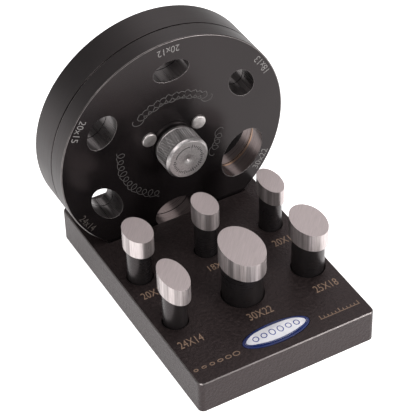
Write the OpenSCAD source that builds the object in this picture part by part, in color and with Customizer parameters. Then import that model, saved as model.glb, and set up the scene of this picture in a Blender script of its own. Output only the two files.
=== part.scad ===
// Oval disc cutter: six oval blanking punches, a two-plate die wheel and the base that stores them.
// Frame: origin at the centre of the base's underside, +X to the right, +Y to the back, +Z up.
// The die wheel stands upright in a pocket across the back of the base; its axis runs along Y.
// All sizes are in millimetres.

/* [Base block] */
// Width of the base, left to right
base_w = 100; // [80:0.5:130]
// Depth of the base, front to back
base_d = 150; // [120:0.5:190]
// Thickness of the base
base_h = 19; // [14:0.1:30]
// Radius of the four upright corners
base_corner_r = 3; // [1:0.1:8]
// Chamfer along the top edges
base_chamfer = 0.5; // [0.2:0.05:1.5]

/* [Die wheel] */
// Radius of both die plates
wheel_r = 64; // [50:0.1:80]
// Height of the wheel's axis above the table
wheel_z = 68.2; // [55:0.1:90]
// Position of the front plate's face, front to back
wheel_y = 38.4; // [20:0.1:45]
// Thickness of the sliding front plate
guide_t = 11; // [6:0.1:16]
// Gap between the plates when the die is closed empty
plate_gap = 0.4; // [0.2:0.05:1]
// Thickness of the back plate
die_t = 18; // [10:0.1:25]
// Chamfer on the front rims of the plates
plate_chamfer = 0.4; // [0.1:0.05:1]
// Chamfer on the rear rims of the plates
rear_chamfer = 0.15; // [0.05:0.05:1]
// Thickness left behind the cutting edges, where the back plate is turned out
die_web = 6.4; // [4:0.1:12]
// Inner radius of the turned-out ring in the back plate
relief_r0 = 24; // [22:0.5:30]
// Outer radius of the turned-out ring in the back plate
relief_r1 = 59; // [57:0.5:61]
// Radius of the circle that carries the six oval openings
hole_pitch_r = 46; // [38:0.1:52]
// Angle of the first opening, from the +X side, seen from the front
hole_start_deg = 30; // [0:1:60]
// Clearance around a punch head in the front plate, per side
guide_clear = 0.1; // [0.02:0.01:0.3]
// Clearance around a punch head in the back plate, per side
cut_clear = 0.15; // [0.02:0.01:0.3]

/* [Pocket] */
// Space under the wheel's rim in the pocket
pocket_rim_gap = 0.35; // [0.2:0.05:1]
// Space in front of and behind the wheel in the pocket
pocket_side_gap = 1; // [0.3:0.05:2]

/* [Guide pins] */
// Radius of the two guide pins
pin_r = 4; // [2:0.1:5]
// Distance of the pins from the wheel's axis
pin_pitch_r = 16.4; // [14:0.1:22]
// Height of the pin ends above the front face
pin_proud = 1.2; // [0:0.1:3]
// Running clearance of the pins in the front plate, per side
pin_clear = 0.05; // [0.02:0.01:0.1]
// Rounding of the pin ends
pin_round = 0.8; // [0.2:0.1:2]

/* [Clamp knob and screw] */
// Outer radius of the knurled grip
knob_r = 11.9; // [9:0.1:14]
// Distance from the front plate's face to the knob's face
knob_face = 15; // [10:0.1:22]
// Width of the chamfer round the knob's face, across
knob_chamfer = 1.2; // [0.5:0.1:3]
// Length of the chamfer round the knob's face, along the axis
knob_chamfer_len = 1.6; // [0.5:0.1:3]
// Thickness of the thrust washer
washer_t = 1; // [0.5:0.1:2]
// Nominal radius of the clamp screw
screw_r = 4; // [3:0.5:5]
// Thread pitch of the clamp screw
screw_pitch = 1.25; // [1:0.25:1.5]
// Reach of the screw behind the front face
screw_reach = 27.5; // [20:0.5:29]

/* [Lift spring] */
// Radius of the spring's wire
wire_r = 0.6; // [0.3:0.05:0.8]
// Radius of the coil to the middle of the wire
coil_r = 6.6; // [6:0.1:7]
// Number of turns
coil_turns = 4; // [3:0.5:6]
// Depth of the spring seat in the front plate
seat_front = 4; // [2:0.5:6]
// Depth of the spring seat in the back plate
seat_back = 6; // [3:0.5:10]

/* [Punches] */
// Distance of the outer punches from the middle, left and right
punch_x = 38.6; // [30:0.1:42]
// Position of the back row of punches
back_row_y = 7.5; // [0:0.1:15]
// Position of the front row of punches
front_row_y = -29.7; // [-45:0.1:-20]
// Height of the middle of the cutting faces above the table
punch_top = 50; // [42:0.1:70]
// Height of the lower edge of the ground oval heads
head_z = 39.3; // [30:0.1:45]
// Height of the socket floors above the table
socket_floor = 5; // [2:0.1:10]
// Clearance of the shanks in their sockets, per side
socket_clear = 0.35; // [0.2:0.05:0.6]
// Slope of the cutting faces
shear_deg = 4.3; // [0:0.1:10]
// Heading in which the cutting faces rise, from +X towards +Y
shear_dir = 132; // [0:1:359]

/* [Badge] */
// Half length of the oval badge recess
badge_a = 19.1; // [12:0.1:22]
// Half width of the oval badge recess
badge_b = 7.2; // [5:0.1:9]
// Position of the badge, front to back
badge_y = -62.4; // [-66:0.1:-58]
// Depth of the badge recess
badge_depth = 1.2; // [0.5:0.1:2]

/* [Hidden] */
$fn = 96;
e = 0.01;

// colours
c_oxide = [0.22, 0.20, 0.20];
c_wheel = [0.26, 0.24, 0.25];
c_steel = [0.72, 0.69, 0.69];
c_knob = [0.60, 0.58, 0.58];
c_dark = [0.08, 0.08, 0.08];
c_blue = [0.12, 0.20, 0.48];
c_pale = [0.90, 0.90, 0.92];

// one row per oval size: length, width, shank radius, height of its face above punch_top
OVALS = [[18, 13, 6.0, 0.5], [20, 12, 5.95, -1.1], [20, 15, 6.5, 0.2],
         [24, 14, 6.3, 0], [25, 18, 8.5, 0], [30, 22, 10.7, 0.6]];
// places of the same sizes in the base
PLACES = [[0, back_row_y], [punch_x, back_row_y], [-punch_x, back_row_y],
          [-punch_x, front_row_y], [punch_x, front_row_y], [0, front_row_y]];
pins_at = [180 - 30, 30];
wheel_t = guide_t + plate_gap + die_t;
pocket_r = wheel_r + pocket_rim_gap;
seat_r = coil_r + wire_r + 0.4;
ring_z = -(guide_t - seat_front);
pin_z = 7;

// a straight prism with an oval outline, half axes a and b
module oval(a, b, h, n = 72) {
    linear_extrude(height = h) polygon([for (i = [0:n - 1]) [a * cos(360 * i / n), b * sin(360 * i / n)]]);
}

// moves a shape drawn around the local Z axis to the wheel: local +Z faces the front
module on_wheel() translate([0, wheel_y, wheel_z]) rotate([90, 0, 0]) children();

// a round plate from z0, its rear, to z1, its front, with chamfered rims
module plate(z0, z1) {
    c = plate_chamfer;
    b = rear_chamfer;
    rotate_extrude($fn = 180) polygon([[0, z0], [wheel_r - b, z0], [wheel_r, z0 + b],
                                       [wheel_r, z1 - c], [wheel_r - c, z1], [0, z1]]);
}

// the six oval openings from z0 to z1, wider than the heads by g on every side
module openings(z0, z1, g) {
    for (i = [0:5]) rotate([0, 0, hole_start_deg + 60 * i]) translate([hole_pitch_r, 0, z0])
        rotate([0, 0, 90]) oval(OVALS[i][0] / 2 + g, OVALS[i][1] / 2 + g, z1 - z0);
}

// flat block with rounded upright corners, chamfered along its top
module block(w, d, h, r, c) {
    for (sx = [-1, 1], sy = [-1, 1]) translate([sx * (w / 2 - r), sy * (d / 2 - r), 0]) {
        cylinder(r = r, h = h - c);
        translate([0, 0, h - c]) cylinder(r1 = r, r2 = r - c, h = c);
    }
    translate([0, d / 2 - r, 0]) rotate([90, 0, 0]) linear_extrude(height = d - 2 * r)
        polygon([[-w / 2, 0], [w / 2, 0], [w / 2, h - c],
                 [w / 2 - c, h], [-w / 2 + c, h], [-w / 2, h - c]]);
    translate([-w / 2 + r, 0, 0]) rotate([90, 0, 90]) linear_extrude(height = w - 2 * r)
        polygon([[-d / 2, 0], [d / 2, 0], [d / 2, h - c],
                 [d / 2 - c, h], [-d / 2 + c, h], [-d / 2, h - c]]);
}

// Base: punch sockets, arc pocket for the wheel and the badge recess
module base_block() {
    color(c_oxide) difference() {
        block(base_w, base_d, base_h, base_corner_r, base_chamfer);
        // arc pocket: the wheel stands in it on its rim
        translate([0, wheel_y - pocket_side_gap, wheel_z]) rotate([-90, 0, 0])
            cylinder(r = pocket_r, h = wheel_t + 2 * pocket_side_gap, $fn = 180);
        // round sockets with a small countersink
        for (i = [0:5]) translate([PLACES[i][0], PLACES[i][1], 0]) {
            r = OVALS[i][2] + socket_clear;
            translate([0, 0, socket_floor]) cylinder(r = r, h = base_h);
            translate([0, 0, base_h - 0.3]) cylinder(r1 = r, r2 = r + 0.3 + e, h = 0.3 + e);
        }
        translate([0, badge_y, base_h - badge_depth]) oval(badge_a, badge_b, 5, 96);
    }
}

// Badge: coloured oval plate, flush in its recess
module badge_plate() {
    color(c_blue) translate([0, badge_y, base_h - badge_depth])
        oval(badge_a - 0.35, badge_b - 0.35, badge_depth + 0.1, 96);
}

// Badge: pale face, domed along and across
module badge_dome() {
    long_r = 150;
    cross_r = 18;
    color(c_pale) intersection() {
        translate([0, badge_y, base_h + 0.1]) oval(badge_a - 1.7, badge_b - 1.7, 3, 96);
        translate([0, badge_y + 10, base_h + 1.4 - long_r]) rotate([90, 0, 0])
            cylinder(r = long_r, h = 20, $fn = 1440);
        translate([-25, badge_y, base_h + 1.4 - cross_r]) rotate([0, 90, 0])
            cylinder(r = cross_r, h = 50, $fn = 360);
    }
}

// Back plate of the die: cutting openings, turned-out back, pin bores, tapped centre and spring seat
module die_plate() {
    color(c_wheel) on_wheel() difference() {
        plate(-wheel_t, -guide_t - plate_gap);
        openings(-wheel_t - 1, -guide_t, cut_clear);
        // the turned-out ring lets the blanks drop clear
        translate([0, 0, -wheel_t - 1]) difference() {
            cylinder(r = relief_r1, h = die_t - die_web + 1, $fn = 180);
            translate([0, 0, -1]) cylinder(r = relief_r0, h = die_t + 2);
        }
        translate([0, 0, -wheel_t - 1]) cylinder(r = screw_r + 0.05, h = die_t + 2);
        translate([0, 0, -guide_t - plate_gap - seat_back]) cylinder(r = seat_r, h = seat_back + 1);
        for (a = pins_at) rotate([0, 0, a]) translate([pin_pitch_r, 0, -wheel_t - 1])
            cylinder(r = pin_r, h = die_t + 2);
    }
}

// Front plate of the die: guides the punch and clamps the sheet
module guide_plate() {
    color(c_wheel) on_wheel() difference() {
        plate(-guide_t, 0);
        openings(-guide_t - 1, 1, guide_clear);
        translate([0, 0, -guide_t - 1]) cylinder(r = screw_r + 0.35, h = guide_t + 2);
        translate([0, 0, -guide_t - 1]) cylinder(r = seat_r, h = seat_front + 1);
        for (a = pins_at) rotate([0, 0, a]) translate([pin_pitch_r, 0, -guide_t - 1])
            cylinder(r = pin_r + pin_clear, h = guide_t + 2);
    }
}

// Guide pin: pressed in the back plate, round-nosed in front
module guide_pin(a) {
    f = pin_round;
    back = -wheel_t + 0.6;
    color(c_steel) on_wheel() rotate([0, 0, a]) translate([pin_pitch_r, 0, 0]) rotate_extrude()
        polygon(concat([[0, back], [pin_r - 0.4, back], [pin_r, back + 0.4]],
                       [for (t = [0:18:90]) [pin_r - f + f * cos(t), pin_proud - f + f * sin(t)]],
                       [[0, pin_proud]]));
}
module guide_pin_left() guide_pin(pins_at[0]);
module guide_pin_right() guide_pin(pins_at[1]);

// Spring that opens the plates: round wire swept along a coil between the two seats
module lift_spring() {
    z0 = -guide_t - plate_gap - seat_back + wire_r + 0.1;
    z1 = ring_z - wire_r - 0.1;
    n = 24 * coil_turns;
    m = 8;
    pts = [for (i = [0:n], j = [0:m - 1])
        let (t = 360 * coil_turns * i / n, w = 360 * j / m, r = coil_r + wire_r * cos(w))
        [r * cos(t), r * sin(t), z0 + (z1 - z0) * i / n + wire_r * sin(w)]];
    sides = [for (i = [0:n - 1], j = [0:m - 1])
        [i * m + j, i * m + (j + 1) % m, (i + 1) * m + (j + 1) % m, (i + 1) * m + j]];
    ends = [[for (j = [m - 1:-1:0]) j], [for (j = [0:m - 1]) n * m + j]];
    color(c_steel) on_wheel() polyhedron(points = pts, faces = concat(sides, ends), convexity = 8);
}

// Thrust washer between the knob and the front plate
module thrust_washer() {
    color(c_dark) on_wheel() translate([0, 0, 0.03]) difference() {
        cylinder(r = knob_r - 0.6, h = washer_t - 0.06);
        translate([0, 0, -1]) cylinder(r = screw_r + 0.35, h = washer_t + 2);
    }
}

// Knurled knob: grip, narrower collar behind it, chamfered face and centre mark
module clamp_knob() {
    color(c_knob) on_wheel() difference() {
        rotate_extrude() polygon([
            [0, washer_t], [knob_r - 0.5, washer_t], [knob_r - 0.5, washer_t + 1.6], [knob_r, washer_t + 2],
            [knob_r, knob_face - knob_chamfer_len], [knob_r - knob_chamfer, knob_face],
            [0.9, knob_face], [0, knob_face - 0.8]]);
        translate([0, 0, 0]) cylinder(r = screw_r + 0.02, h = 11.5);
        // hole for the cross pin, open at the knob's underside
        translate([0, 6.5, pin_z]) rotate([90, 0, 0]) cylinder(r = 1.25, h = knob_r + 8, $fn = 48);
    }
}

// Clamp screw: plain shank with a ring groove, then the thread
module clamp_screw() {
    r = screw_r;
    d = screw_pitch * 0.54;
    t0 = -12.5;
    n = floor((screw_reach + t0) / screw_pitch);
    color(c_steel) on_wheel() difference() {
        rotate_extrude() polygon(concat(
            [[0, 11.4], [r - 0.6, 11.4], [r, 10.8], [r, ring_z - 0.05], [r - 0.6, ring_z - 0.05],
             [r - 0.6, ring_z - 1], [r, ring_z - 1], [r, t0]],
            [for (i = [0:n - 1], k = [0:1]) [k == 0 ? r - d : r, t0 - screw_pitch * (i + (k + 1) / 2)]],
            [[r - 1, -screw_reach], [0, -screw_reach]]));
        translate([0, 10, pin_z]) rotate([90, 0, 0]) cylinder(r = 1.25, h = 20, $fn = 48);
    }
}

// Pin that fixes the knob on the screw
module cross_pin() {
    color(c_steel) on_wheel() translate([0, 5.5, pin_z]) rotate([90, 0, 0])
        cylinder(r = 1.24, h = knob_r + 4.5, $fn = 48);
}

// Open ring in the screw's groove, behind the front plate's web
module retaining_ring() {
    color(c_dark) on_wheel() translate([0, 0, ring_z - 0.95]) difference() {
        cylinder(r = screw_r + 1.4, h = 0.85);
        translate([0, 0, -1]) cylinder(r = screw_r - 0.58, h = 3);
        translate([-1.6, 0, -1]) cube([3.2, 9, 3]);
    }
}

// Punch: round shank with a chamfered foot, oval head and a sloping cutting face
module punch(i) {
    o = OVALS[i];
    top = punch_top + o[3];
    c = 0.6;
    color(c_steel) translate([PLACES[i][0], PLACES[i][1], 0]) difference() {
        union() {
            translate([0, 0, socket_floor + 0.1]) cylinder(r1 = o[2] - c, r2 = o[2], h = c);
            translate([0, 0, socket_floor + 0.1 + c]) cylinder(r = o[2], h = head_z - socket_floor - c);
            translate([0, 0, head_z]) rotate([0, 0, 90]) oval(o[0] / 2, o[1] / 2, top + 4 - head_z);
        }
        translate([0, 0, top]) rotate([0, 0, shear_dir]) rotate([0, -shear_deg, 0])
            translate([-40, -40, 0]) cube([80, 80, 20]);
    }
}
module punch_18x13() punch(0);
module punch_20x12() punch(1);
module punch_20x15() punch(2);
module punch_24x14() punch(3);
module punch_25x18() punch(4);
module punch_30x22() punch(5);

base_block();
badge_plate();
badge_dome();
die_plate();
guide_plate();
guide_pin_left();
guide_pin_right();
lift_spring();
thrust_washer();
clamp_knob();
clamp_screw();
cross_pin();
retaining_ring();
punch_18x13();
punch_20x12();
punch_20x15();
punch_24x14();
punch_25x18();
punch_30x22();
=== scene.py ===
import math

import bmesh
import bpy
from mathutils import Matrix, Vector


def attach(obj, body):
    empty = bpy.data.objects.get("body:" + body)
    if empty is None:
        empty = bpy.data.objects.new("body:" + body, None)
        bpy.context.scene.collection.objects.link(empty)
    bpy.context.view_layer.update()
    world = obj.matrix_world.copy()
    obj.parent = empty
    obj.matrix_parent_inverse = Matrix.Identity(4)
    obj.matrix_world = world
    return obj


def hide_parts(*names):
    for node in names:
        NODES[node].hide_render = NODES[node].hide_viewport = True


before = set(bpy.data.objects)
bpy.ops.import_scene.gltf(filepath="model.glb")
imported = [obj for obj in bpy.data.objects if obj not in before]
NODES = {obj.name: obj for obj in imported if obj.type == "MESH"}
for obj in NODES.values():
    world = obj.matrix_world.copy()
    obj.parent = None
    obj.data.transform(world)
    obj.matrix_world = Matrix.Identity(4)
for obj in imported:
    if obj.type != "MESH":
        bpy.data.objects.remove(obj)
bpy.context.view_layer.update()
MM = 0.001
AXIS_Z = 0.0682                 # height of the wheel's axis, which runs along Y at x = 0
FACE_Y = 0.0384                 # the front plate's face
TURNED_RING_Y = 0.0565          # where the turned-out ring at the back starts
HOLE_RING_R = 0.046             # radius of the circle on which the six openings sit
scene = bpy.context.scene
scene.view_settings.view_transform = "Standard"

# ---------------------------------------------------------------- camera
AZIMUTH, ELEVATION, ROLL = -28.442, 41.272, -1.641   # degrees
DISTANCE = 0.959897             # from the point looked at, m
TARGET = (10.825, 24.235, 30.0)  # the point looked at, mm
FOCAL_PX, IMAGE_PX = 1843.362, 416
SENSOR_MM = 36.0


def make_camera():
    az, el, roll = math.radians(AZIMUTH), math.radians(ELEVATION), math.radians(ROLL)
    back = Vector((math.sin(az) * math.cos(el), -math.cos(az) * math.cos(el), math.sin(el)))
    right = Vector((math.cos(az), math.sin(az), 0))
    up = back.cross(right)
    r2 = math.cos(roll) * right + math.sin(roll) * up
    u2 = -math.sin(roll) * right + math.cos(roll) * up
    data = bpy.data.cameras.new("camera")
    data.sensor_width = SENSOR_MM
    data.lens = SENSOR_MM * FOCAL_PX / IMAGE_PX
    data.clip_start, data.clip_end = 0.05, 20
    cam = bpy.data.objects.new("camera", data)
    scene.collection.objects.link(cam)
    pos = Vector(TARGET) * MM + back * DISTANCE
    m = Matrix((r2, u2, back)).transposed().to_4x4()
    m.translation = pos
    cam.matrix_world = m
    scene.camera = cam

make_camera()

# ---------------------------------------------------------------- node helpers
class Net:
    """A small wrapper that keeps the shader code short."""
    def __init__(self, name):
        self.mat = bpy.data.materials.new(name)
        self.mat.use_nodes = True
        self.nt = self.mat.node_tree
        self.nt.nodes.clear()
        self.out = self.n("ShaderNodeOutputMaterial")
        self.coord = self.n("ShaderNodeTexCoord").outputs["Object"]

    def n(self, kind, **props):
        node = self.nt.nodes.new(kind)
        for k, v in props.items():
            setattr(node, k, v)
        return node

    def put(self, socket, value):
        if isinstance(value, bpy.types.NodeSocket):
            self.nt.links.new(value, socket)
        elif value is not None:
            if isinstance(value, (tuple, list)) and len(value) == 3 and socket.type == "RGBA":
                value = (*value, 1.0)
            socket.default_value = value

    def math(self, op, a, b=None, c=None, clamp=False):
        node = self.n("ShaderNodeMath", operation=op, use_clamp=clamp)
        for s, v in zip(node.inputs, (a, b, c)):
            self.put(s, v)
        return node.outputs[0]

    def xyz(self, vec=None):
        node = self.n("ShaderNodeSeparateXYZ")
        self.put(node.inputs[0], vec or self.coord)
        return node.outputs

    def vec(self, x, y, z):
        node = self.n("ShaderNodeCombineXYZ")
        for s, v in zip(node.inputs, (x, y, z)):
            self.put(s, v)
        return node.outputs[0]

    def mul(self, vec, by):
        node = self.n("ShaderNodeVectorMath", operation="MULTIPLY")
        self.put(node.inputs[0], vec)
        self.put(node.inputs[1], by)
        return node.outputs[0]

    def noise(self, scale, detail=3.0, rough=0.55, vec=None, stretch=None):
        node = self.n("ShaderNodeTexNoise")
        v = vec or self.coord
        if stretch:
            v = self.mul(v, stretch)
        self.put(node.inputs["Vector"], v)
        node.inputs["Scale"].default_value = scale
        node.inputs["Detail"].default_value = detail
        node.inputs["Roughness"].default_value = rough
        return node.outputs["Fac"]

    def ramp(self, fac, stops):
        node = self.n("ShaderNodeValToRGB")
        self.put(node.inputs[0], fac)
        els = node.color_ramp.elements
        while len(els) < len(stops):
            els.new(0.5)
        for el, (p, c) in zip(els, stops):
            el.position = p
            el.color = (*c, 1.0) if isinstance(c, (tuple, list)) else (c, c, c, 1.0)
        return node.outputs[0]

    def span(self, v, a, b, c, d):
        node = self.n("ShaderNodeMapRange")
        self.put(node.inputs["Value"], v)
        for k, x in zip(("From Min", "From Max", "To Min", "To Max"), (a, b, c, d)):
            node.inputs[k].default_value = x
        return node.outputs[0]

    def mix(self, fac, a, b):
        node = self.n("ShaderNodeMix", data_type="RGBA")
        self.put(node.inputs[0], fac)
        self.put(node.inputs[6], a)
        self.put(node.inputs[7], b)
        return node.outputs[2]

    def bump(self, height, strength=0.2, distance=0.0002, normal=None):
        node = self.n("ShaderNodeBump")
        self.put(node.inputs["Height"], height)
        node.inputs["Strength"].default_value = strength
        node.inputs["Distance"].default_value = distance
        self.put(node.inputs["Normal"], normal)
        return node.outputs[0]

    def surface(self, **values):
        b = self.n("ShaderNodeBsdfPrincipled")
        for k, v in values.items():
            self.put(b.inputs[k.replace("_", " ")], v)
        self.nt.links.new(b.outputs[0], self.out.inputs[0])
        return b


def base_oxide():
    m = Net("base_oxide")
    big = m.noise(38, 3, 0.6)
    mid = m.noise(640, 4, 0.65)
    fine = m.noise(2600, 3, 0.7)
    col = m.mix(m.span(big, 0.3, 0.7, 0, 1), (0.0095, 0.0070, 0.0072), (0.0140, 0.0106, 0.0104))
    col = m.mix(m.span(mid, 0.40, 0.70, 0, 0.6), col, (0.034, 0.0255, 0.0245))
    rough = m.math("ADD", m.span(mid, 0.3, 0.7, 0.34, 0.46), m.span(fine, 0.3, 0.7, -0.03, 0.05))
    nrm = m.bump(fine, 0.25, 0.0001, m.bump(mid, 0.8, 0.0005))
    m.surface(Base_Color=col, Roughness=rough, Normal=nrm,
              Specular_IOR_Level=0.38, Specular_Tint=(1.0, 0.80, 0.82))
    return m.mat


def wheel_oxide(name="wheel_oxide", r0=0.18, r1=0.24, spec=0.33,
                dark=(0.0040, 0.0034, 0.0036), light=(0.0080, 0.0066, 0.0068)):
    """black oxide with faint turning marks; r0 and r1 bound the roughness"""
    m = Net(name)
    x, y, z = m.xyz()
    zz = m.math("SUBTRACT", z, AXIS_Z)
    r = m.math("SQRT", m.math("ADD", m.math("MULTIPLY", x, x), m.math("MULTIPLY", zz, zz)))
    rings = m.noise(1.0, 2, 0.6, vec=m.vec(m.math("MULTIPLY", r, 2200.0), m.math("MULTIPLY", y, 900.0), 0.0))
    big = m.noise(30, 3, 0.6)
    fine = m.noise(1500, 3, 0.6)
    col = m.mix(m.span(big, 0.3, 0.7, 0, 1), dark, light)
    rough = m.math("ADD", m.span(big, 0.3, 0.7, r0, r1), m.span(rings, 0.3, 0.7, -0.02, 0.02))
    nrm = m.bump(rings, 0.010, 0.0001, m.bump(fine, 0.015, 0.0001))
    m.surface(Base_Color=col, Roughness=rough, Normal=nrm,
              Specular_IOR_Level=spec, Specular_Tint=(1.0, 0.88, 0.89))
    return m.mat


def bore_steel():
    m = Net("bore_steel")
    x, y, z = m.xyz()
    stretched = m.vec(m.math("MULTIPLY", x, 60.0), m.math("MULTIPLY", y, 2600.0), m.math("MULTIPLY", z, 60.0))
    lines = m.noise(1.0, 2, 0.6, vec=stretched)
    col = m.mix(m.span(lines, 0.3, 0.7, 0, 1), (0.125, 0.100, 0.098), (0.215, 0.175, 0.170))
    # two warm lines on the wall beside the plates' gap, in the 30x22 opening only, are a painted reflection
    gap_painted_reflection = m.ramp(m.span(y, FACE_Y + 0.0085, FACE_Y + 0.0140, 0, 1),
                  [(0.0, 0.0), (0.18, 0.0), (0.26, 1.0), (0.36, 0.1), (0.5, 0.9), (0.6, 0.0), (1.0, 0.0)])
    gap_painted_reflection = m.math("MULTIPLY", gap_painted_reflection, m.math("GREATER_THAN", x, 0.02))
    col = m.mix(m.math("MULTIPLY", gap_painted_reflection, 0.75), col, (0.50, 0.27, 0.13))
    rough = m.span(lines, 0.3, 0.7, 0.26, 0.36)
    m.surface(Base_Color=col, Metallic=1.0, Roughness=rough, Normal=m.bump(lines, 0.10, 0.0001))
    return m.mat


def wall_oxide():
    m = Net("wall_oxide")
    lines = m.noise(1.0, 3, 0.6, vec=m.mul(m.coord, (900.0, 60.0, 900.0)))
    col = m.mix(m.span(lines, 0.3, 0.7, 0, 1), (0.075, 0.068, 0.068), (0.15, 0.138, 0.138))
    rough = m.span(lines, 0.3, 0.7, 0.24, 0.36)
    m.surface(Base_Color=col, Metallic=0.8, Roughness=rough, Normal=m.bump(lines, 0.12, 0.0001))
    return m.mat


def ground_face():
    m = Net("ground_face")
    x, y, z = m.xyz()
    across = m.math("SUBTRACT", m.math("MULTIPLY", x, 0.738), m.math("MULTIPLY", y, 0.673))
    along = m.math("ADD", m.math("MULTIPLY", x, 0.673), m.math("MULTIPLY", y, 0.738))
    fine = m.vec(m.math("MULTIPLY", across, 2300.0), m.math("MULTIPLY", along, 110.0), 0.0)
    lines = m.noise(1.0, 4, 0.65, vec=fine)
    wide = m.vec(m.math("MULTIPLY", across, 620.0), m.math("MULTIPLY", along, 40.0), 0.0)
    arcs = m.noise(1.0, 2, 0.5, vec=wide)
    col = m.mix(m.span(lines, 0.25, 0.75, 0, 1), (0.41, 0.357, 0.357), (0.53, 0.464, 0.464))
    rough = m.span(arcs, 0.3, 0.7, 0.48, 0.58)
    m.surface(Base_Color=col, Metallic=0.40, Roughness=rough, Normal=m.bump(lines, 0.16, 0.00006))
    return m.mat


def ground_side():
    m = Net("ground_side")
    lines = m.noise(1.0, 4, 0.7, vec=m.mul(m.coord, (1500.0, 1500.0, 45.0)))
    patch = m.noise(130, 2, 0.5)
    # the fine vertical lines are real grind marks, but their wide light-to-dark contrast is partly painted
    # reflection streaks; the broad vertical streaks below, which darken parts of the band, are painted
    # reflection
    col = m.mix(m.span(lines, 0.25, 0.75, 0, 1), (0.34, 0.295, 0.29), (0.82, 0.75, 0.745))
    painted_reflection_streaks = m.noise(1.0, 1, 0.5, vec=m.mul(m.coord, (210.0, 210.0, 6.0)))
    col = m.mix(m.span(painted_reflection_streaks, 0.38, 0.52, 0.55, 0.0), col, (0.11, 0.098, 0.096))
    rough = m.math("ADD", m.span(patch, 0.3, 0.7, 0.28, 0.35), m.span(lines, 0.3, 0.7, -0.02, 0.05))
    turned = m.noise(1.0, 2, 0.6, vec=m.mul(m.coord, (60.0, 60.0, 4200.0)))
    m.surface(Base_Color=col, Metallic=0.72, Roughness=rough, Normal=m.bump(turned, 0.55, 0.00012))
    return m.mat


def shank_black():
    m = Net("shank_black")
    lines = m.noise(1.0, 4, 0.7, vec=m.mul(m.coord, (40.0, 40.0, 1300.0)))
    big = m.noise(60, 2, 0.5)
    col = m.mix(m.span(big, 0.3, 0.7, 0, 1), (0.0085, 0.0080, 0.0085), (0.015, 0.0135, 0.0135))
    rough = m.math("ADD", m.span(big, 0.3, 0.7, 0.25, 0.33), m.span(lines, 0.3, 0.7, -0.03, 0.06))
    nrm = m.bump(lines, 0.08, 0.00005)
    m.surface(Base_Color=col, Roughness=rough, Normal=nrm,
              Specular_IOR_Level=0.45, Specular_Tint=(1.0, 0.86, 0.88))
    return m.mat


def satin_steel(name, lo, hi, r0, r1, bump=0.12):
    m = Net(name)
    fine = m.noise(1700, 4, 0.65)
    turn = m.noise(1.0, 3, 0.6, vec=m.mul(m.coord, (300.0, 3000.0, 300.0)))
    col = m.mix(m.span(turn, 0.3, 0.7, 0, 1), lo, hi)
    rough = m.span(fine, 0.3, 0.7, r0, r1)
    m.surface(Base_Color=col, Metallic=1.0, Roughness=rough, Normal=m.bump(fine, bump, 0.00006))
    return m.mat


def knob_steel():
    m = Net("knob_steel")
    x, y, z = m.xyz()
    zz = m.math("SUBTRACT", z, AXIS_Z)
    r = m.math("SQRT", m.math("ADD", m.math("MULTIPLY", x, x), m.math("MULTIPLY", zz, zz)))
    turn = m.noise(1.0, 3, 0.6, vec=m.vec(m.math("MULTIPLY", r, 3000.0), m.math("MULTIPLY", y, 400.0), 0.0))
    fine = m.noise(1400, 4, 0.7)
    col = m.mix(m.span(fine, 0.3, 0.7, 0, 1), (0.26, 0.245, 0.245), (0.60, 0.575, 0.57))
    # the knurl's valleys are darkened in colour: painted shade in the recesses of the knurl
    groove = m.span(r, 0.01162, 0.01186, 1, 0)
    grip = m.math("MULTIPLY", m.math("GREATER_THAN", r, 0.01145), m.math("GREATER_THAN", y, FACE_Y - 0.0129))
    knurl_valley_painted_shade = m.math("MULTIPLY", groove, grip)
    col = m.mix(knurl_valley_painted_shade, col, (0.012, 0.011, 0.011))
    rough = m.math("ADD", m.span(fine, 0.3, 0.7, 0.34, 0.46), m.span(turn, 0.3, 0.7, -0.03, 0.04))
    nrm = m.bump(turn, 0.10, 0.00006, m.bump(fine, 0.12, 0.00006))
    m.surface(Base_Color=col, Metallic=1.0, Roughness=rough, Normal=nrm)
    return m.mat


def ink(name, color, dark, rough=0.55):
    m = Net(name)
    speck = m.noise(1700, 3, 0.7)
    col = m.mix(m.span(speck, 0.3, 0.7, 0, 1), dark, color)
    m.surface(Base_Color=col, Roughness=rough, Specular_IOR_Level=0.3, Normal=m.bump(speck, 0.2, 0.00005))
    return m.mat


def enamel(name, a, b, rough=0.12, coat=1.0):
    m = Net(name)
    soft = m.noise(120, 2, 0.5)
    col = m.mix(m.span(soft, 0.3, 0.7, 0, 1), a, b)
    nrm = m.bump(m.noise(900, 2, 0.5), 0.02, 0.0001)
    m.surface(Base_Color=col, Roughness=rough, Coat_Weight=coat, Coat_Roughness=0.04, Normal=nrm)
    return m.mat


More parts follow.
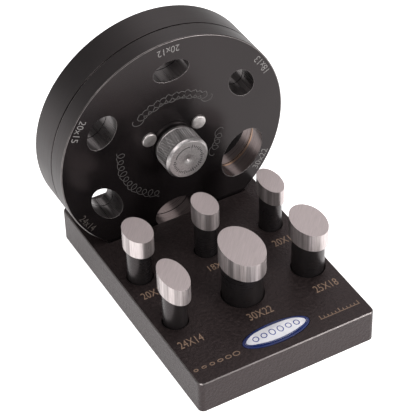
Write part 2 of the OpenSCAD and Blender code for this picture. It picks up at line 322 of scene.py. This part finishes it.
M = {
    "base": base_oxide(),
    "wheel": wheel_oxide(),
    "rim": wheel_oxide("rim_oxide", 0.42, 0.50, 0.5, (0.013, 0.0122, 0.0124), (0.020, 0.0178, 0.0178)),
    "wall": wall_oxide(),
    "worn": satin_steel("worn_edge", (0.12, 0.110, 0.109), (0.22, 0.203, 0.20), 0.30, 0.42),
    "bore": bore_steel(),
    "bright": satin_steel("bright_edge", (0.22, 0.20, 0.198), (0.36, 0.335, 0.33), 0.30, 0.42),
    "face": ground_face(),
    "side": ground_side(),
    "shank": shank_black(),
    "knob": knob_steel(),
    "pin": satin_steel("pin_steel", (0.36, 0.345, 0.34), (0.60, 0.575, 0.565), 0.34, 0.46),
    "plain": satin_steel("plain_steel", (0.40, 0.39, 0.38), (0.56, 0.55, 0.54), 0.30, 0.42),
    "dark": satin_steel("dark_steel", (0.030, 0.028, 0.028), (0.050, 0.046, 0.045), 0.35, 0.5),
    "tan": ink("label_tan", (0.30, 0.205, 0.145), (0.18, 0.12, 0.085)),
    "grey": ink("label_grey", (0.25, 0.24, 0.235), (0.12, 0.115, 0.112)),
    # a darker copy of the grey label ink: painted shade for the labels low on the wheel
    "painted_shade_grey": ink("label_painted_shade_grey", (0.075, 0.063, 0.056), (0.038, 0.032, 0.029)),
    "soft": ink("mark_grey", (0.085, 0.080, 0.078), (0.045, 0.042, 0.041)),
    "black": ink("mark_black", (0.020, 0.019, 0.019), (0.010, 0.010, 0.010)),
    "blue": enamel("badge_blue", (0.004, 0.013, 0.09), (0.010, 0.028, 0.15), rough=0.32, coat=0.1),
    "pale": enamel("badge_pale", (0.66, 0.68, 0.74), (0.80, 0.81, 0.85)),
    "badge_ink": enamel("badge_ink", (0.012, 0.035, 0.22), (0.02, 0.05, 0.28)),
}

# ---------------------------------------------------------------- finish of the CAD nodes
SHARP_ANGLE = 28                # edges steeper than this, in degrees, stay sharp


def smooth_group():
    """a geometry node group that shades smooth except across steep edges"""
    g = bpy.data.node_groups.new("smooth_by_angle", "GeometryNodeTree")
    g.interface.new_socket("Geometry", in_out="INPUT", socket_type="NodeSocketGeometry")
    g.interface.new_socket("Geometry", in_out="OUTPUT", socket_type="NodeSocketGeometry")
    i, o = g.nodes.new("NodeGroupInput"), g.nodes.new("NodeGroupOutput")
    a = g.nodes.new("GeometryNodeSetShadeSmooth")
    a.domain = "FACE"
    b = g.nodes.new("GeometryNodeSetShadeSmooth")
    b.domain = "EDGE"
    ang = g.nodes.new("GeometryNodeInputMeshEdgeAngle")
    lt = g.nodes.new("ShaderNodeMath")
    lt.operation = "LESS_THAN"
    lt.inputs[1].default_value = math.radians(SHARP_ANGLE)
    link = g.links.new
    link(i.outputs[0], a.inputs["Geometry"])
    link(a.outputs[0], b.inputs["Geometry"])
    link(ang.outputs["Unsigned Angle"], lt.inputs[0])
    link(lt.outputs[0], b.inputs["Shade Smooth"])
    link(b.outputs[0], o.inputs[0])
    return g

SMOOTH = smooth_group()


def dress(name, mats, choose=None, bevel=0.0, edge=-1):
    """Materials, smooth shading and a fine bevel for a CAD node, all as modifiers.

    choose gives each face the place of its material in mats, and edge that of the bevel's.
    """
    o = NODES[name]
    me = o.data
    me.materials.clear()
    for k in mats:
        me.materials.append(M[k])
    for p in me.polygons:
        p.material_index = choose(p) if choose else 0
    if "custom_normal" in me.attributes:
        me.attributes.remove(me.attributes["custom_normal"])
    w = o.modifiers.new("weld", "WELD")
    w.merge_threshold = 2e-6
    s = o.modifiers.new("smooth", "NODES")
    s.node_group = SMOOTH
    if bevel:
        b = o.modifiers.new("edge", "BEVEL")
        b.width, b.segments, b.limit_method = bevel, 2, "ANGLE"
        b.angle_limit = math.radians(40)
        b.use_clamp_overlap = True
        b.miter_outer = "MITER_ARC"
        b.harden_normals = True
        b.material = edge


# each oval's place on the wheel, in steps of 60 degrees from 30 degrees
OVALS = {"18x13": 0, "20x12": 1, "20x15": 2, "24x14": 3, "25x18": 4, "30x22": 5}
BARE_OVALS = ("25x18", "30x22")
HEAD_Z = 0.0393                 # where a punch's bright head meets its black shank


def axis_radius(p):
    """a face's distance from the wheel's axis"""
    return math.hypot(p.center.x, p.center.z - AXIS_Z)


def bare_wall(p):
    """1 on the walls of the two large openings, which are bare steel, 0 elsewhere"""
    if abs(p.normal.y) > 0.5 or p.center.y > TURNED_RING_Y:
        return 0
    for name in BARE_OVALS:
        t = math.radians(30 + 60 * OVALS[name])
        cx, cz = HOLE_RING_R * math.cos(t), AXIS_Z + HOLE_RING_R * math.sin(t)
        if (p.center.x - cx) ** 2 + (p.center.z - cz) ** 2 < 0.0165 ** 2:
            return 1
    return 0


def wheel_part(p):
    """2 on the turned rim, 1 on the bare walls, 3 on the other openings' walls, 0 elsewhere"""
    upright = abs(p.normal.y) < 0.5
    if upright and axis_radius(p) > 0.0625:
        return 2
    if bare_wall(p):
        return 1
    in_opening = p.center.y < TURNED_RING_Y and abs(axis_radius(p) - HOLE_RING_R) < 0.013
    return 3 if upright and in_opening else 0


def head_or_shank(p):
    """0 on a punch's cutting face, 1 on its bright head, 2 on its black shank"""
    if p.center.z > 0.046 and p.normal.z > 0.9:
        return 0
    return 1 if p.center.z > HEAD_Z - 1e-4 else 2


def base_part(p):
    """1 on the chamfer round the base's top, which is worn bright, 0 elsewhere"""
    return 1 if 0.35 < p.normal.z < 0.95 and p.center.z > 0.0183 else 0


dress("base_block", ["base", "bright"], base_part, bevel=0.12 * MM)
dress("badge_plate", ["blue"], bevel=0.12 * MM)
dress("badge_dome", ["pale", "blue"], lambda p: 1 if p.normal.z < 0.5 else 0, bevel=0.12 * MM)
dress("die_plate", ["wheel", "bore", "rim", "wall"], wheel_part, bevel=0.12 * MM)
dress("guide_plate", ["wheel", "bore", "rim", "wall", "worn"], wheel_part, bevel=0.18 * MM, edge=4)
for n in ("guide_pin_left", "guide_pin_right"):
    dress(n, ["pin"])
dress("lift_spring", ["plain"])
dress("thrust_washer", ["dark"], bevel=0.1 * MM)
dress("clamp_screw", ["plain"])
dress("cross_pin", ["plain"], bevel=0.15 * MM)
dress("retaining_ring", ["dark"], bevel=0.08 * MM)
for n in OVALS:
    dress("punch_" + n, ["face", "side", "shank"], head_or_shank, bevel=0.10 * MM)

# ---------------------------------------------------------------- knurled knob
def piece(name, verts, faces, mat, body, smooth=True):
    """a new mesh that rides a body and stands in a material slot"""
    me = bpy.data.meshes.new(name)
    me.from_pydata(verts, [], faces)
    me.update()
    me.materials.append(M[mat])
    if smooth:
        me.shade_smooth()
        me.set_sharp_from_angle(angle=math.radians(SHARP_ANGLE))
    o = bpy.data.objects.new(name, me)
    scene.collection.objects.link(o)
    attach(o, body)
    return o


def face_outwards(o):
    bm = bmesh.new()
    bm.from_mesh(o.data)
    bmesh.ops.recalc_face_normals(bm, faces=bm.faces)
    bm.to_mesh(o.data)
    bm.free()


def tri(u):
    """a triangle wave of period 1 between 0 and 1"""
    u = u - math.floor(u)
    return 1 - abs(2 * u - 1)


KNOB_R, KNOB_LEN = 11.9, 15.0   # mm
KNURL_TEETH, KNURL_DEPTH = 66, 0.30


def build_knob():
    """the knob with its knurl cut in the mesh, in place of the plain CAD knob"""
    R, N = KNOB_R, 384
    # profile from the bore's mouth round the outside to the centre: (t, r, knurl weight)
    prof = [(11.4, 0.02, 0), (11.4, 4.02, 0), (1.0, 4.02, 0), (1.0, 10.9, 0), (1.2, 11.35, 0),
            (2.45, 11.4, 0), (2.7, 11.25, 0), (2.95, 11.25, 0), (3.05, 11.5, 0)]
    t = 3.2
    step = 0.19
    while t < 13.2:
        w = min(1.0, (t - 3.1) / 0.35, (13.35 - t) / 0.3)
        prof.append((t, R, max(0.0, w)))
        t += step
    end = KNOB_LEN
    prof += [(13.4, R, 0), (13.46, R - 0.02, 0), (14.92, 10.77, 0), (end, 10.66, 0), (end, 7.9, 0),
             (end, 4.0, 0), (end, 0.95, 0), (14.93, 0.8, 0), (14.3, 0.12, 0), (14.28, 0.02, 0)]
    pitch = 2 * math.pi * R / KNURL_TEETH
    verts = []
    for t, r, w in prof:
        for i in range(N):
            th = 2 * math.pi * i / N
            rr = r
            if w:
                a = tri(KNURL_TEETH * th / (2 * math.pi) + t / pitch)
                b = tri(KNURL_TEETH * th / (2 * math.pi) - t / pitch)
                h = min(1.0, 1.25 * min(a, b))
                rr = r - w * KNURL_DEPTH * (1 - h)
            verts.append((rr * math.cos(th) * MM, FACE_Y - t * MM, AXIS_Z + rr * math.sin(th) * MM))
    faces = []
    rings = len(prof)
    for j in range(rings - 1):
        for i in range(N):
            a, b = j * N + i, j * N + (i + 1) % N
            c, d = (j + 1) * N + (i + 1) % N, (j + 1) * N + i
            faces.append((a, b, c, d))
    faces.append(tuple(range(N - 1, -1, -1)))
    faces.append(tuple((rings - 1) * N + i for i in range(N)))
    o = piece("knob_grip", verts, faces, "knob", "knob")
    face_outwards(o)
    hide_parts("clamp_knob")


build_knob()

# ---------------------------------------------------------------- labels and marks
def flat_text(name, text, width, height, to_world, mat, body, thick=0.04):
    """Lettering as a thin mesh: width and height in mm, to_world maps (u, v, w) in mm to metres."""
    c = bpy.data.curves.new(name, "FONT")
    c.body = text
    c.align_x, c.align_y = "CENTER", "BOTTOM_BASELINE"
    c.extrude = 0.0
    c.resolution_u = 4
    tmp = bpy.data.objects.new(name + "_t", c)
    scene.collection.objects.link(tmp)
    bpy.context.view_layer.update()
    dg = bpy.context.evaluated_depsgraph_get()
    me = bpy.data.meshes.new_from_object(tmp.evaluated_get(dg))
    bpy.data.objects.remove(tmp)
    xs = [v.co.x for v in me.vertices]
    ys = [v.co.y for v in me.vertices]
    x0, x1, y0, y1 = min(xs), max(xs), min(ys), max(ys)
    bm = bmesh.new()
    bm.from_mesh(me)
    for v in bm.verts:
        v.co.x = ((v.co.x - x0) / (x1 - x0) - 0.5) * width
        v.co.y = (v.co.y - y0) / (y1 - y0) * height
        v.co.z = 0.0
    ext = bmesh.ops.extrude_face_region(bm, geom=bm.faces[:])
    for v in [g for g in ext["geom"] if isinstance(g, bmesh.types.BMVert)]:
        v.co.z += thick
    for v in bm.verts:
        v.co = Vector(to_world(v.co.x, v.co.y, v.co.z))
    bmesh.ops.recalc_face_normals(bm, faces=bm.faces)
    me2 = bpy.data.meshes.new(name)
    bm.to_mesh(me2)
    bm.free()
    me2.materials.append(M[mat])
    o = bpy.data.objects.new(name, me2)
    scene.collection.objects.link(o)
    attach(o, body)


BASE_TOP = 19.0                 # mm
SINK = 0.015                    # how deep a mark's foot sits in its surface, mm


def on_base(cx, base_y):
    return lambda u, v, w: ((cx + u) * MM, (base_y + v) * MM, (BASE_TOP - SINK + w) * MM)


def on_rim(deg, radius):
    """Lettering that runs round the wheel's face with the tops of its letters towards the axis."""
    def f(u, v, w):
        r = radius - v
        t = math.radians(deg) + u / radius
        return (r * math.cos(t) * MM, FACE_Y + (SINK - w) * MM, AXIS_Z + r * math.sin(t) * MM)
    return f


# the base's labels: middle, baseline, width and height in mm
LABELS = {
    "30X22": (0.1, -49.3, 13.6, 5.0),
    "24X14": (-39.2, -49.0, 13.3, 5.0),
    "25X18": (38.6, -49.3, 13.4, 5.0),
    "18X13": (0.0, -8.0, 12.2, 4.3),
    "20X12": (38.4, -9.2, 13.2, 4.8),
    "20X15": (-38.6, -9.2, 13.2, 4.8),
}
for text, (cx, by, w, h) in LABELS.items():
    flat_text("label_" + text, text, w, h, on_base(cx, by), "tan", "base")
# the wheel's labels: angle in degrees, radius in mm and ink; the two low on the wheel take a darker copy of
# the grey ink, which is painted shade
RIM_LABELS = {
    "18x13": (30, 62, "grey"),
    "20x12": (91, 60.8, "grey"),
    "20x15": (151, 62, "grey"),
    "24x14": (211.2, 62.3, "painted_shade_grey"),
    "25x18": (270, 62, "painted_shade_grey"),
    "30x22": (328, 62, "grey"),
}
for text, (deg, radius, ink_name) in RIM_LABELS.items():
    flat_text("rim_" + text, text, 12.8, 3.9, on_rim(deg, radius), ink_name, "die_front")


def strokes(name, segs, mat, body, to_world, width=0.35, thick=0.03):
    """Short engraved strokes: each segment is a list of (u, v) points in mm."""
    verts, faces = [], []
    for pts in segs:
        n0 = len(verts)
        m = len(pts)
        for k, (u, v) in enumerate(pts):
            a = pts[max(0, k - 1)]
            b = pts[min(m - 1, k + 1)]
            dx, dy = b[0] - a[0], b[1] - a[1]
            q = math.hypot(dx, dy) or 1.0
            nx, ny = -dy / q * width / 2, dx / q * width / 2
            for s, w in ((1, 0.0), (-1, 0.0), (-1, thick), (1, thick)):
                verts.append(to_world(u + s * nx, v + s * ny, w))
        for k in range(m - 1):
            p = n0 + 4 * k
            for j in range(4):
                faces.append((p + j, p + (j + 1) % 4, p + 4 + (j + 1) % 4, p + 4 + j))
        faces.append((n0, n0 + 1, n0 + 2, n0 + 3))
        e = n0 + 4 * (m - 1)
        faces.append((e + 3, e + 2, e + 1, e))
    face_outwards(piece(name, verts, faces, mat, body, smooth=False))


def ellipse(cx, cy, a, b, n=28):
    turns = [2 * math.pi * i / n for i in range(n + 1)]
    return [(cx + a * math.cos(t), cy + b * math.sin(t)) for t in turns]


# two plain rows of marks at the front corners of the base
row = []
for i, (a, b) in enumerate(((0.9, 0.65), (1.0, 0.6), (1.0, 0.75), (1.2, 0.7), (1.25, 0.9), (1.5, 1.1))):
    row.append(ellipse(-46.6 + 4.5 * i, -65.0, 1.15 * a, 1.15 * b))
strokes("marks_left", row, "tan", "base", on_base(0, 0), width=0.45)
row = [[(24.0 + 2.2 * i, -66.2), (24.0 + 2.2 * i, -63.6 - (0.0 if i % 5 == 0 else 1.0))]
       for i in range(11)]
row.append([(23.5, -66.2), (46.5, -66.2)])
strokes("marks_right", row, "tan", "base", on_base(0, 0), width=0.45)


def on_face(u, v, w):
    return (u * MM, FACE_Y + (0.012 - w) * MM, AXIS_Z + v * MM)


def loops(deg0, deg1, radius, size, turns):
    """A running ornament: a looping line along an arc."""
    n = turns * 22
    pts = []
    for i in range(n + 1):
        s = i / n
        ph = 2 * math.pi * turns * s
        t = math.radians(deg0 + (deg1 - deg0) * s) + 0.62 * size / radius * math.sin(ph)
        r = radius + size * 0.5 * math.cos(ph) * (1.0 if int(turns * s) % 3 else 1.3)
        pts.append((r * math.cos(t), r * math.sin(t)))
    return pts


strokes("ornament_top", [loops(134, 46, 29.5, 4.2, 13)],
        "soft", "die_front", on_face, width=0.42)
strokes("ornament_left", [loops(168, 252, 31.0, 3.6, 11)],
        "soft", "die_front", on_face, width=0.34)
strokes("ornament_right", [loops(-5, -36, 26.5, 3.6, 4)],
        "soft", "die_front", on_face, width=0.34)

# ring of small marks on the knob's face
def on_knob(u, v, w):
    return (u * MM, FACE_Y - (KNOB_LEN - 0.01 + w) * MM, AXIS_Z + v * MM)

segs = []
for i in range(40):
    a = 2 * math.pi * i / 40
    if 76 < math.degrees(a) < 164:
        continue
    r0, r1 = (6.7, 8.8) if i % 4 == 0 else (7.2, 8.4)
    segs.append([(r0 * math.cos(a), r0 * math.sin(a)), (r1 * math.cos(a), r1 * math.sin(a))])
arc = [math.radians(t) for t in range(80, 162, 3)]
segs.append([(7.6 * math.cos(t), 7.6 * math.sin(t)) for t in arc])
strokes("knob_marks", segs, "black", "knob", on_knob, width=0.5, thick=0.02)

# plain mark on the badge: a line inside the edge and a row of small ovals
BADGE_Y = -62.4                 # the badge's middle, mm
DOME_TOP = BASE_TOP + 1.4       # the badge's highest point, mm
DOME_R_LONG, DOME_R_CROSS = 150, 18


def dome_z(x, y):
    """the height of the badge's domed face"""
    z_long = DOME_TOP - DOME_R_LONG + math.sqrt(max(0.0, DOME_R_LONG ** 2 - x ** 2))
    z_cross = DOME_TOP - DOME_R_CROSS + math.sqrt(max(0.0, DOME_R_CROSS ** 2 - (y - BADGE_Y) ** 2))
    return min(z_long, z_cross)


def on_badge(u, v, w):
    return (u * MM, (v + BADGE_Y) * MM, (dome_z(u, v + BADGE_Y) - 0.01 + w) * MM)

strokes("badge_ring", [ellipse(0.0, 0.0, 17.05, 5.17, 96)],
        "blue", "base", on_badge, width=0.55, thick=0.05)
segs = [ellipse(-11.6 + 4.65 * i, 0.0, 1.45, 1.9 if i in (2, 3) else 1.55, 24) for i in range(6)]
strokes("badge_marks", segs, "badge_ink", "base", on_badge, width=0.5, thick=0.03)

# ---------------------------------------------------------------- floor, world and lights
FLOOR_GLOW = 0.95


def make_floor():
    me = bpy.data.meshes.new("floor")
    s = 6.0
    z = -2e-5
    me.from_pydata([(-s, -s, z), (s, -s, z), (s, s, z), (-s, s, z)], [], [(0, 1, 2, 3)])
    m = Net("floor")
    big = m.noise(3, 2, 0.5)
    col = m.mix(big, (0.80, 0.80, 0.80), (0.84, 0.84, 0.84))
    m.surface(Base_Color=col, Roughness=0.9, Specular_IOR_Level=0.1,
              Emission_Color=(1.0, 0.995, 0.99), Emission_Strength=FLOOR_GLOW)
    me.materials.append(m.mat)
    o = bpy.data.objects.new("floor", me)
    scene.collection.objects.link(o)


make_floor()


def area(name, loc, target, size, power, color=(1, 1, 1), size_y=None):
    d = bpy.data.lights.new(name, "AREA")
    d.shape = "RECTANGLE" if size_y else "SQUARE"
    d.size = size
    if size_y:
        d.size_y = size_y
    d.energy = power
    d.color = color
    o = bpy.data.objects.new(name, d)
    o.location = loc
    o.rotation_mode = "QUATERNION"
    o.rotation_quaternion = (Vector(target) - Vector(loc)).to_track_quat("-Z", "Y")
    scene.collection.objects.link(o)


w = bpy.data.worlds.new("studio")
scene.world = w
w.use_nodes = True
bg = w.node_tree.nodes["Background"]
bg.inputs[0].default_value = (1.0, 0.96, 0.96, 1)
bg.inputs[1].default_value = 0.16

area("key", (-0.75, -0.55, 0.95), (0, 0, 0.05), 0.45, 5.0, (1, 0.97, 0.965))
area("top", (0.1, -0.1, 1.5), (0, 0, 0.05), 0.9, 8.5, (1, 0.975, 0.975))
area("back", (0.95, 1.2, 1.25), (0, 0, 0.05), 1.6, 7, (1, 0.975, 0.975), size_y=1.4)
area("right", (0.85, -1.15, 0.42), (0, 0, 0.05), 0.5, 13, (1, 0.97, 0.965))
